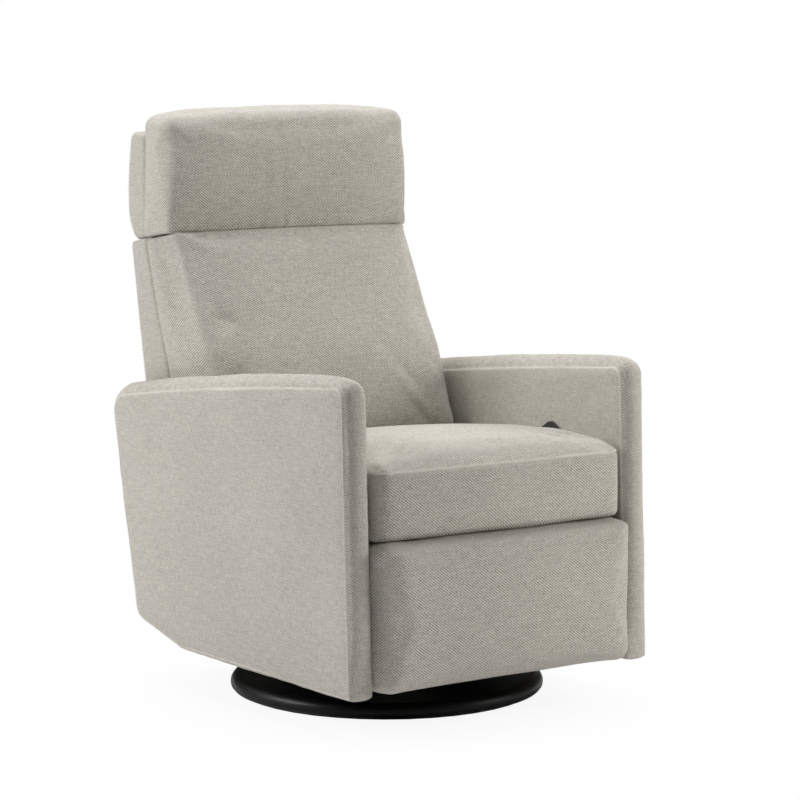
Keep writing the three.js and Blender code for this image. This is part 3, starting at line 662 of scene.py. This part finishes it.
def arm_outline():
    """The arm's outline in (y, z) as one even loop, and how far each point is along it."""
    low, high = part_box("arm_left")
    front, foot, rear = low.y, low.z, high.y
    sole = foot - 2 * MM
    path = np.vstack(
        [
            [(0.2, sole)],
            bend((0.205, sole), (0.212, sole), (0.219, foot + 1 * MM), 6),
            bend((0.35, 0.112), (0.37, 0.116), (0.3745, 0.135), 10),
            bend((rear + 10 * MM, 0.5), (rear + 25 * MM, 0.548), (0.396, 0.5575), 26),
            bend((0.396, 0.5575), (0.04, 0.6105), (-0.324, 0.6325), 60),
            bend((-0.324, 0.6325), (front + 15 * MM, 0.634), (front + 14.5 * MM, 0.61), 22),
            bend((front - 5 * MM, foot + 3 * MM), (front - 5 * MM, sole), (front, sole), 8),
        ]
    )
    keep = np.concatenate([[True], np.linalg.norm(np.diff(path, axis=0), axis=1) > 1e-5])
    loop = resample(path[keep], 352, closed=True)
    run = np.arange(352) * np.linalg.norm(loop[1] - loop[0])
    return loop, run


def outward(loop):
    """Unit normals of a (y, z) loop that runs from the rear foot up over the top to the front."""
    along = np.roll(loop, -1, axis=0) - np.roll(loop, 1, axis=0)
    along /= np.linalg.norm(along, axis=1)[:, None]
    return np.column_stack([along[:, 1], -along[:, 0]])


def fill_loop(points, edge, parts):
    """Faces that close a convex loop of point numbers, with new points along rungs across it."""
    half, faces, last = len(edge) // 2, [], None
    for i in range(1, half - 1):
        a, b = edge[i], edge[-1 - i]
        rung = [a]
        for k in range(1, parts):
            points.append(points[a] + (points[b] - points[a]) * k / parts)
            rung.append(len(points) - 1)
        rung.append(b)
        if last is None:
            faces.append([edge[0], *rung, edge[-1]])
        else:
            for k in range(parts):
                faces.append([last[k], rung[k], rung[k + 1], last[k + 1]])
        last = rung
    faces.append([*last[::-1], *edge[half - 1 : half + 1]][::-1])
    return faces


RINGS = [0, 2, 4.5, 8, 13, 20, 30]  # distances in mm of an arm panel's rings from its seam
BAND = np.array([-1, -0.93, -0.84, -0.7, -0.5, -0.25, 0, 0.25, 0.5, 0.7, 0.84, 0.93, 1])
SEAM_DRAW = 4.4 * MM  # how far a seam draws an arm's side panel in
RUNGS = 22  # parts that each line across an arm panel is split into
ARM_HALF = 28 * MM  # half an arm's thickness


def arm_fullness(loop, run, normal):
    """How far the band stands above its seams, and how far the seams lie inside the outline."""
    count = len(loop)
    corner = np.argmin(np.linalg.norm(loop - (-0.348, 0.63), axis=1))
    past = (np.arange(count) - corner) * run[1]
    toe = np.linalg.norm(loop - loop[np.argmin(loop @ (1, 1))], axis=1)
    top = np.clip(normal[:, 1], 0, 1) ** 2
    low = loop[:, 1] < 0.15
    crown = 9 * MM + 6 * MM * top - 6.5 * MM * groove(past, 34 * MM) - 5 * MM * low
    crown -= 3 * MM * groove(toe, 40 * MM)
    inset = 2 * MM + 4 * MM * top
    blur = np.ones(11) / 11
    return [np.convolve(np.tile(line, 3), blur, "same")[count : 2 * count] for line in (crown, inset)]


def make_arm(name, side):
    """side is +1 for the arm at +X. Panel, seam, crowned band, seam, panel, as one closed skin."""
    loop, run = arm_outline()
    normal = outward(loop)
    count = len(loop)
    centre = np.array([0.02, 0.34])
    reach = np.linalg.norm(loop - centre, axis=1)
    inside = (centre - loop) / reach[:, None]
    half = ARM_HALF
    middle = side * (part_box("arm_right")[0].x + half)
    rows, cloth, seam = [], [], []

    crown, inset = arm_fullness(loop, run, normal)
    edge = loop - normal * inset[:, None]

    def panel(face):
        """Rings of a side panel from its seam inwards, on the face at +1 or -1."""
        out = []
        for depth in RINGS:
            depth = depth * MM
            flat = edge + inside * depth
            fill = 1 - math.exp(-depth / (10 * MM))
            swell = (half - SEAM_DRAW + (SEAM_DRAW + 0.4 * MM) * fill) * face
            out.append((np.column_stack([np.full(count, middle + swell), flat]), flat, depth))
        return out

    first = panel(-side)
    for points, flat, depth in reversed(first):
        rows.append(points)
        cloth.append(flat)
        seam.append(np.full(count, depth))
    width = half - SEAM_DRAW
    for w in BAND:
        lift = (crown + inset) * (1 - abs(w) ** 2.4)
        ring = edge + normal * lift[:, None]
        x = middle + side * w * width
        rows.append(np.column_stack([np.full(count, x), ring]))
        cloth.append(np.column_stack([np.full(count, x), 3 - run]))
        seam.append(np.full(count, (1 - abs(w)) * width))
    for points, flat, depth in panel(side):
        rows.append(points)
        cloth.append(flat)
        seam.append(np.full(count, depth))
    points = np.vstack(rows)
    faces, corners = [], []
    whole = run[1] * count
    for r in range(len(rows) - 1):
        is_seam = r in (len(first) - 1, len(first) + len(BAND) - 1)
        for i in range(count):
            j = (i + 1) % count
            quad = [r * count + i, r * count + j, (r + 1) * count + j, (r + 1) * count + i]
            coordinates = [cloth[r][i], cloth[r][j], cloth[r + 1][j], cloth[r + 1][i]]
            if j == 0 and abs(coordinates[1][1] - coordinates[0][1]) > 0.5 * whole:
                coordinates[1] = coordinates[1] - np.array([0, whole])
                coordinates[2] = coordinates[2] - np.array([0, whole])
            if is_seam:
                coordinates = [coordinates[0], coordinates[1], coordinates[1], coordinates[0]]
            if side < 0:
                quad, coordinates = quad[::-1], coordinates[::-1]
            faces.append(quad)
            corners.append(coordinates)
    points, distance = list(points), list(np.concatenate(seam))
    for r, flip in ((0, False), (len(rows) - 1, True)):
        edge = [r * count + i for i in range(count)]
        if flip != (side > 0):
            edge = edge[::-1]
        filled = fill_loop(points, edge, RUNGS)
        faces += filled
        corners += [[points[k][1:] for k in face] for face in filled]
    distance = np.concatenate([distance, np.full(len(points) - len(distance), 1.0)])
    obj = make(name, points, faces, corners)
    move_to(obj, places(obj) - normals(obj) * (1.6 * MM * groove(distance, 2.2 * MM))[:, None])
    # Painted highlight: the seam mark lightens the cloth in a line along each side panel's topstitching,
    # partly standing for the pale thread.
    topstitch = 0.42 * groove(distance - 4 * MM, 1.2 * MM)
    topstitch[len(first) * count : (len(first) + len(BAND)) * count] = 0
    mark(obj, "seam", topstitch)
    for word, row in (("inner", len(RINGS) - 3), ("outer", len(rows) - len(RINGS) + 2)):
        line = np.arange(row * count, (row + 1) * count)
        stitch(name.replace("cover", word + "_stitches"), places(obj)[line], normals(obj)[line], "chair")
    subdivide(obj)
    p = places(obj)
    soft = waves(p, (0.3, 0.22, 0.22), 71 + side) * 0.8 * MM
    soft += waves(p, (0.3, 0.05, 0.05), 75 + side) * 0.25 * MM
    move_to(obj, p + normals(obj) * soft[:, None])
    return obj


# ---------------------------------------------------------------- hard pieces
def lathe(name, profile, sides=160):
    """A solid of revolution about Z from (radius, z) pairs that start and end on the axis."""
    points, faces = [], []
    for r, z in profile[1:-1]:
        for i in range(sides):
            a = 2 * math.pi * i / sides
            points.append((r * math.cos(a), r * math.sin(a), z))
    rows = len(profile) - 2
    for k in range(rows - 1):
        for i in range(sides):
            j = (i + 1) % sides
            faces.append([k * sides + i, k * sides + j, (k + 1) * sides + j, (k + 1) * sides + i])
    for k, tip, flip in ((0, profile[0], True), (rows - 1, profile[-1], False)):
        points.append((0, 0, tip[1]))
        for i in range(sides):
            j = (i + 1) % sides
            fan = [k * sides + i, k * sides + j, len(points) - 1]
            faces.append(fan[::-1] if flip else fan)
    return make(name, points, faces)


def make_disc():
    low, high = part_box("base_disc")
    radius, top, roll = high.x, high.z, 17 * MM
    profile = [(0, low.z), (radius - 9 * MM, low.z), (radius - 5 * MM, low.z + 1 * MM)]
    for i in range(13):
        a = -0.35 + (math.pi / 2 + 0.35) * i / 12
        profile.append((radius - roll + roll * math.cos(a), top - roll + roll * math.sin(a)))
    for share in np.linspace(0, 1, 6)[1:]:
        r = radius - roll - 10 * MM * share
        profile.append((r, top - 1.5 * MM * (1 - math.cos(math.pi * share)) / 2))
    profile += [(0.2, top - 1.5 * MM), (0.1, top - 1.5 * MM), (0, top - 1.5 * MM)]
    return lathe("base_disc_lacquered", profile)


# ---------------------------------------------------------------- materials
class Nodes:
    """Short forms for building a material's node tree."""

    def __init__(self, name):
        self.material = bpy.data.materials.new(name)
        self.material.use_nodes = True
        self.tree = self.material.node_tree
        self.shader = self.tree.nodes["Principled BSDF"]

    def put(self, value, socket):
        if isinstance(value, bpy.types.NodeSocket):
            self.tree.links.new(value, socket)
        else:
            socket.default_value = value

    def math(self, operation, *values, clamp=False):
        node = self.tree.nodes.new("ShaderNodeMath")
        node.operation = operation
        node.use_clamp = clamp
        for socket, value in zip(node.inputs, values):
            self.put(value, socket)
        return node.outputs[0]

    def mix(self, factor, a, b):
        node = self.tree.nodes.new("ShaderNodeMix")
        node.data_type = "RGBA"
        self.put(factor, node.inputs["Factor"])
        for value, socket in ((a, node.inputs[6]), (b, node.inputs[7])):
            self.put(value if isinstance(value, bpy.types.NodeSocket) else (*value, 1), socket)
        return node.outputs[2]

    def noise(self, vector, scale, detail=2.0, roughness=0.5):
        node = self.tree.nodes.new("ShaderNodeTexNoise")
        self.put(vector, node.inputs["Vector"])
        node.inputs["Scale"].default_value = scale
        node.inputs["Detail"].default_value = detail
        node.inputs["Roughness"].default_value = roughness
        return node.outputs["Fac"]

    def span(self, value, low, high, to_low=0.0, to_high=1.0):
        node = self.tree.nodes.new("ShaderNodeMapRange")
        self.put(value, node.inputs["Value"])
        for key, v in zip(("From Min", "From Max", "To Min", "To Max"), (low, high, to_low, to_high)):
            self.put(v, node.inputs[key])
        return node.outputs[0]

    def combine(self, x, y, z=0.0):
        node = self.tree.nodes.new("ShaderNodeCombineXYZ")
        for socket, value in zip(node.inputs, (x, y, z)):
            self.put(value, socket)
        return node.outputs[0]

    def separate(self, vector):
        node = self.tree.nodes.new("ShaderNodeSeparateXYZ")
        self.put(vector, node.inputs[0])
        return node.outputs

    def attribute(self, name):
        node = self.tree.nodes.new("ShaderNodeAttribute")
        node.attribute_name = name
        return node.outputs["Fac"]

    def own_place(self):
        return self.tree.nodes.new("ShaderNodeTexCoord").outputs["Object"]

    def cloth_place(self):
        node = self.tree.nodes.new("ShaderNodeUVMap")
        node.uv_map = "Cloth"
        return node.outputs[0]

    def bump(self, height, distance, strength=1.0):
        node = self.tree.nodes.new("ShaderNodeBump")
        node.inputs["Strength"].default_value = strength
        node.inputs["Distance"].default_value = distance
        self.put(height, node.inputs["Height"])
        self.put(node.outputs[0], self.shader.inputs["Normal"])

    def set(self, **values):
        for key, value in values.items():
            socket = self.shader.inputs[key.replace("_", " ")]
            self.put((*value, 1) if isinstance(value, tuple) else value, socket)


WARP = 1.72 * MM  # distance between the upright threads
WEFT = 1.3 * MM  # distance between the level threads

def twill(name, light, dark, rib, slub):
    """Heathered twill: light warp over a darker weft, in diagonal ribs, with slubs, soft patches and a
    painted highlight along the topstitching that the seam attribute marks.

    rib is how much lighter the warp is than the weft, and slub how much single threads vary.
    """
    n = Nodes(name)
    u, v, _ = n.separate(n.cloth_place())
    u, v = n.math("DIVIDE", u, WARP), n.math("DIVIDE", v, WEFT)
    wobble = n.noise(n.combine(u, v), 0.06, 2.0)
    u = n.math("ADD", u, n.math("MULTIPLY", wobble, 0.9))
    column, row = n.math("FLOOR", u), n.math("FLOOR", v)
    turn = n.math("MODULO", n.math("ADD", n.math("ADD", column, row), 4000.0), 4.0)
    warp_up = n.math("LESS_THAN", turn, 2.0)
    warp = n.math("ABSOLUTE", n.math("SINE", n.math("MULTIPLY", u, math.pi)))
    weft = n.math("ABSOLUTE", n.math("SINE", n.math("MULTIPLY", v, math.pi)))
    thread = n.math(
        "ADD",
        n.math("MULTIPLY", warp, warp_up),
        n.math("MULTIPLY", weft, n.math("SUBTRACT", 1.0, warp_up)),
    )
    along_warp = n.noise(n.combine(column, n.math("MULTIPLY", v, 0.09)), 0.9, 2.0)
    along_weft = n.noise(n.combine(n.math("MULTIPLY", u, 0.09), row, 7.0), 0.9, 2.0)
    fleck = n.math(
        "ADD",
        n.math("MULTIPLY", along_warp, warp_up),
        n.math("MULTIPLY", along_weft, n.math("SUBTRACT", 1.0, warp_up)),
    )
    fibre = n.noise(n.combine(u, v, 3.0), 2.6, 3.0)
    patch = n.noise(n.own_place(), 3.4, 2.0)
    shade = n.math("ADD", n.span(thread, 0.0, 1.0, -0.34, 0.1), n.span(fleck, 0.32, 0.68, -slub, slub))
    shade = n.math("ADD", shade, n.math("MULTIPLY", n.math("SUBTRACT", warp_up, 0.5), rib))
    shade = n.math("ADD", shade, n.span(fibre, 0.3, 0.7, -0.2, 0.2))
    shade = n.math("ADD", shade, n.span(patch, 0.3, 0.7, -0.07, 0.07))
    # Painted highlight: the seam attribute lightens the cloth along the topstitching, partly for the pale
    # thread and partly for the light on the seam's ridge.
    shade = n.math("ADD", shade, n.math("MULTIPLY", n.attribute("seam"), 1.8))
    factor = n.math("ADD", n.math("MULTIPLY", shade, 0.7), 0.56, clamp=True)
    n.set(Base_Color=n.mix(factor, dark, light))
    n.set(Roughness=n.span(fibre, 0.3, 0.7, 0.82, 0.95), Sheen_Weight=0.25, Sheen_Roughness=0.45)
    n.set(Specular_IOR_Level=0.2)
    height = n.math("ADD", thread, n.math("MULTIPLY", fibre, 0.5))
    n.bump(height, 0.5 * MM, 0.8)
    return n.material


def thread(name, dark, light):
    """Spun sewing thread with a fine slant to its strands."""
    n = Nodes(name)
    x, y, z = n.separate(n.own_place())
    slant = n.noise(n.combine(n.math("ADD", x, z), y, n.math("SUBTRACT", z, x)), 1600.0, 2.0)
    n.set(Base_Color=n.mix(slant, dark, light), Roughness=n.span(slant, 0.3, 0.7, 0.6, 0.8))
    n.set(Sheen_Weight=0.2, Sheen_Roughness=0.4)
    n.bump(slant, 0.1 * MM, 0.6)
    return n.material


def lacquer(name):
    n = Nodes(name)
    place = n.own_place()
    haze = n.noise(place, 9.0, 4.0)
    grain = n.noise(place, 900.0, 2.0)
    n.set(Base_Color=n.mix(haze, (0.0015, 0.0015, 0.0015), (0.004, 0.004, 0.004)))
    n.set(Roughness=n.span(haze, 0.3, 0.7, 0.38, 0.5), Coat_Weight=0.06, Coat_Roughness=0.35)
    n.set(Specular_IOR_Level=0.3)
    n.bump(grain, 0.05 * MM, 0.35)
    return n.material


def metal(name, dark, light, metallic, rough, grain):
    n = Nodes(name)
    place = n.own_place()
    haze = n.noise(place, 22.0, 4.0)
    fine = n.noise(place, grain, 2.0)
    n.set(Base_Color=n.mix(haze, dark, light), Metallic=metallic)
    n.set(Roughness=n.span(haze, 0.3, 0.7, rough - 0.08, rough + 0.1))
    n.bump(fine, 0.08 * MM, 0.4)
    return n.material


def plywood(name):
    n = Nodes(name)
    x, y, z = n.separate(n.own_place())
    grain = n.noise(n.combine(n.math("MULTIPLY", x, 4.0), y, n.math("MULTIPLY", z, 18.0)), 9.0, 6.0, 0.65)
    pores = n.noise(n.combine(n.math("MULTIPLY", x, 14.0), y, n.math("MULTIPLY", z, 160.0)), 7.0, 3.0)
    factor = n.math("ADD", n.math("MULTIPLY", grain, 0.75), n.math("MULTIPLY", pores, 0.25), clamp=True)
    n.set(Base_Color=n.mix(factor, (0.36, 0.22, 0.11), (0.66, 0.47, 0.27)), Roughness=0.65)
    n.bump(pores, 0.2 * MM, 0.5)
    return n.material


def plastic(name, dark, light, grain=1400.0):
    n = Nodes(name)
    place = n.own_place()
    haze, fine = n.noise(place, 30.0, 3.0), n.noise(place, grain, 2.0)
    n.set(Base_Color=n.mix(haze, dark, light), Roughness=n.span(haze, 0.3, 0.7, 0.42, 0.55))
    n.bump(fine, 0.06 * MM, 0.5)
    return n.material


CLOTH_LIGHT, CLOTH_DARK = (0.80, 0.762, 0.682), (0.265, 0.25, 0.212)
PAD_CLOTH = twill("twill_pads", CLOTH_LIGHT, CLOTH_DARK, 0.95, 0.46)
LOOKS = {
    "upholstery": twill("twill_panels", CLOTH_LIGHT, CLOTH_DARK, 0.42, 0.34),
    "disc_lacquer": lacquer("black_lacquer"),
    "black_steel": metal("black_powder_coat", (0.012, 0.012, 0.013), (0.03, 0.03, 0.032), 0.0, 0.42, 700.0),
    "zinc_steel": metal("zinc_plate", (0.42, 0.43, 0.44), (0.62, 0.63, 0.64), 1.0, 0.36, 300.0),
    "plywood": plywood("birch_plywood"),
    "rubber_pad": plastic("black_rubber", (0.01, 0.01, 0.01), (0.025, 0.025, 0.025), 500.0),
    "black_plastic": plastic("grained_plastic", (0.012, 0.012, 0.012), (0.025, 0.025, 0.025)),
    "cable_sheath": plastic("cable_plastic", (0.01, 0.01, 0.01), (0.02, 0.02, 0.02)),
}
THREAD = thread("sewing_thread", (0.6, 0.57, 0.51), (0.8, 0.77, 0.7))
# Near-black lining cloth, dark also as painted shade in the gap over the seat deck's front edge.
GAP_SHADE_LINING = twill("black_lining_gap_shade", (0.03, 0.03, 0.03), (0.008, 0.008, 0.008), 0.6, 0.4)


def finish_in(obj, slot, look=None):
    obj.data.materials.clear()
    obj.data.materials.append(look or LOOKS[slot])


# ---------------------------------------------------------------- assembly
SOFT = [
    make_seat_cushion(),
    make_footrest(),
    make_back_pad(),
    make_head_pad(),
    make_back_shell(),
    make_head_shell(),
    make_rear_panel(),
    (make_arm("arm_right_cover", 1), "arm_right", "chair"),
    (make_arm("arm_left_cover", -1), "arm_left", "chair"),
]
PADS = ("seat_cushion", "footrest_pad", "back_pad", "headrest_pad")
for obj, node, body in SOFT:
    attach(obj, body)
    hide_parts(node)
    finish_in(obj, "upholstery", PAD_CLOTH if node in PADS else None)

for obj, body in SEWN:
    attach(obj, body)
    finish_in(obj, "upholstery", THREAD)

for (obj, start, end), bodies, flat in (
    (make_recline_web(), ("chair", "back"), (0.524, 0.072)),
    (make_headrest_web(), ("back", "headrest"), (0.685, 0.018)),
):
    finish_in(obj, "upholstery")
    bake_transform(obj)

# The deck's front edge is covered in near-black cloth, painted shade for the gap behind the footrest.
edging = make_gap_shade_edging()
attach(edging, "chair")
finish_in(edging, "black_plastic", GAP_SHADE_LINING)

disc = make_disc()
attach(disc, "base")
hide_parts("base_disc")
finish_in(disc, "disc_lacquer")

slots = {s["node"]: s["material_slot"] for s in frame["record"]["subparts"]}
for node, obj in frame["nodes"].items():
    if not obj.hide_render:
        obj.data.materials.clear()
        obj.data.materials.append(LOOKS[slots[node]])


# ---------------------------------------------------------------- stage, light and camera
AMBIENT = 0.04  # strength of the even light from all round


def make_floor():
    """A white studio floor that fades into the backdrop and keeps a faint shadow under the chair."""
    reach = 40
    corners = [(-reach, -reach, 0), (reach, -reach, 0), (reach, reach, 0), (-reach, reach, 0)]
    floor = make("floor", corners, [(0, 1, 2, 3)])
    n = Nodes("pale_floor")
    place = n.own_place()
    x, y, _ = n.separate(place)
    n.set(Base_Color=n.mix(n.noise(place, 2.0), (0.9, 0.9, 0.9), (0.93, 0.93, 0.93)), Roughness=0.9)
    away = n.math("SQRT", n.math("ADD", n.math("MULTIPLY", x, x), n.math("MULTIPLY", y, y)))
    glow = n.tree.nodes.new("ShaderNodeEmission")
    path = n.tree.nodes.new("ShaderNodeLightPath").outputs["Is Camera Ray"]
    mix = n.tree.nodes.new("ShaderNodeMixShader")
    n.put(n.math("MULTIPLY", path, n.span(away, 0.3, 0.7, 0.91, 1.0)), mix.inputs[0])
    n.put(n.shader.outputs[0], mix.inputs[1])
    n.put(glow.outputs[0], mix.inputs[2])
    n.put(mix.outputs[0], n.tree.nodes["Material Output"].inputs["Surface"])
    floor.data.materials.append(n.material)


def make_world():
    world = bpy.data.worlds.new("studio")
    bpy.context.scene.world = world
    world.use_nodes = True
    tree = world.node_tree
    background = tree.nodes["Background"]
    background.inputs["Color"].default_value = (1, 0.98, 0.95, 1)
    background.inputs["Strength"].default_value = AMBIENT
    seen = tree.nodes.new("ShaderNodeBackground")
    seen.inputs["Color"].default_value = (1, 1, 1, 1)
    path, mix = tree.nodes.new("ShaderNodeLightPath"), tree.nodes.new("ShaderNodeMixShader")
    tree.links.new(path.outputs["Is Camera Ray"], mix.inputs[0])
    tree.links.new(background.outputs[0], mix.inputs[1])
    tree.links.new(seen.outputs[0], mix.inputs[2])
    tree.links.new(mix.outputs[0], tree.nodes["World Output"].inputs["Surface"])


def make_light(name, place, width, power, colour):
    data = bpy.data.lights.new(name, "AREA")
    data.shape = "DISK"
    data.size = width
    data.energy = power
    data.color = colour
    light = bpy.data.objects.new(name, data)
    light.location = place
    light.rotation_mode = "QUATERNION"
    light.rotation_quaternion = (Vector((0, 0, 0.5)) - Vector(place)).to_track_quat("-Z", "Y")
    bpy.context.scene.collection.objects.link(light)


def make_camera():
    data = bpy.data.cameras.new("camera")
    data.lens, data.sensor_width = 128.67, 36
    data.clip_end = 200
    camera = bpy.data.objects.new("camera", data)
    azimuth, elevation, distance = math.radians(-35.275), math.radians(6.63), 5.387
    back = Vector(
        (
            math.sin(azimuth) * math.cos(elevation),
            -math.cos(azimuth) * math.cos(elevation),
            math.sin(elevation),
        )
    )
    camera.location = Vector((0, -0.0436, 0.557)) + back * distance
    camera.rotation_mode = "QUATERNION"
    camera.rotation_quaternion = (-back).to_track_quat("-Z", "Y")
    bpy.context.scene.collection.objects.link(camera)
    bpy.context.scene.camera = camera


make_floor()
make_world()
STUDIO = [
    # name, place, width, power, colour
    ("key_light", (-3.4, 1.6, 2.4), 2.2, 113, (1, 0.99, 0.995)),
    ("top_light", (0.1, 0.5, 3.6), 2.6, 95, (0.975, 0.985, 1)),
    ("front_light", (1.9, -1.35, 1.15), 1.1, 30, (1, 0.985, 0.965)),
    ("rear_light", (2.6, 2.2, 1.8), 1.6, 55, (1, 1, 0.98)),
    ("upper_light", (1.2, -2.0, 3.0), 2.0, 10, (1, 0.99, 0.98)),
]
for name, place, width, power, colour in STUDIO:
    make_light(name, place, width, power, colour)
make_camera()
bpy.context.scene.view_settings.view_transform = "Standard"
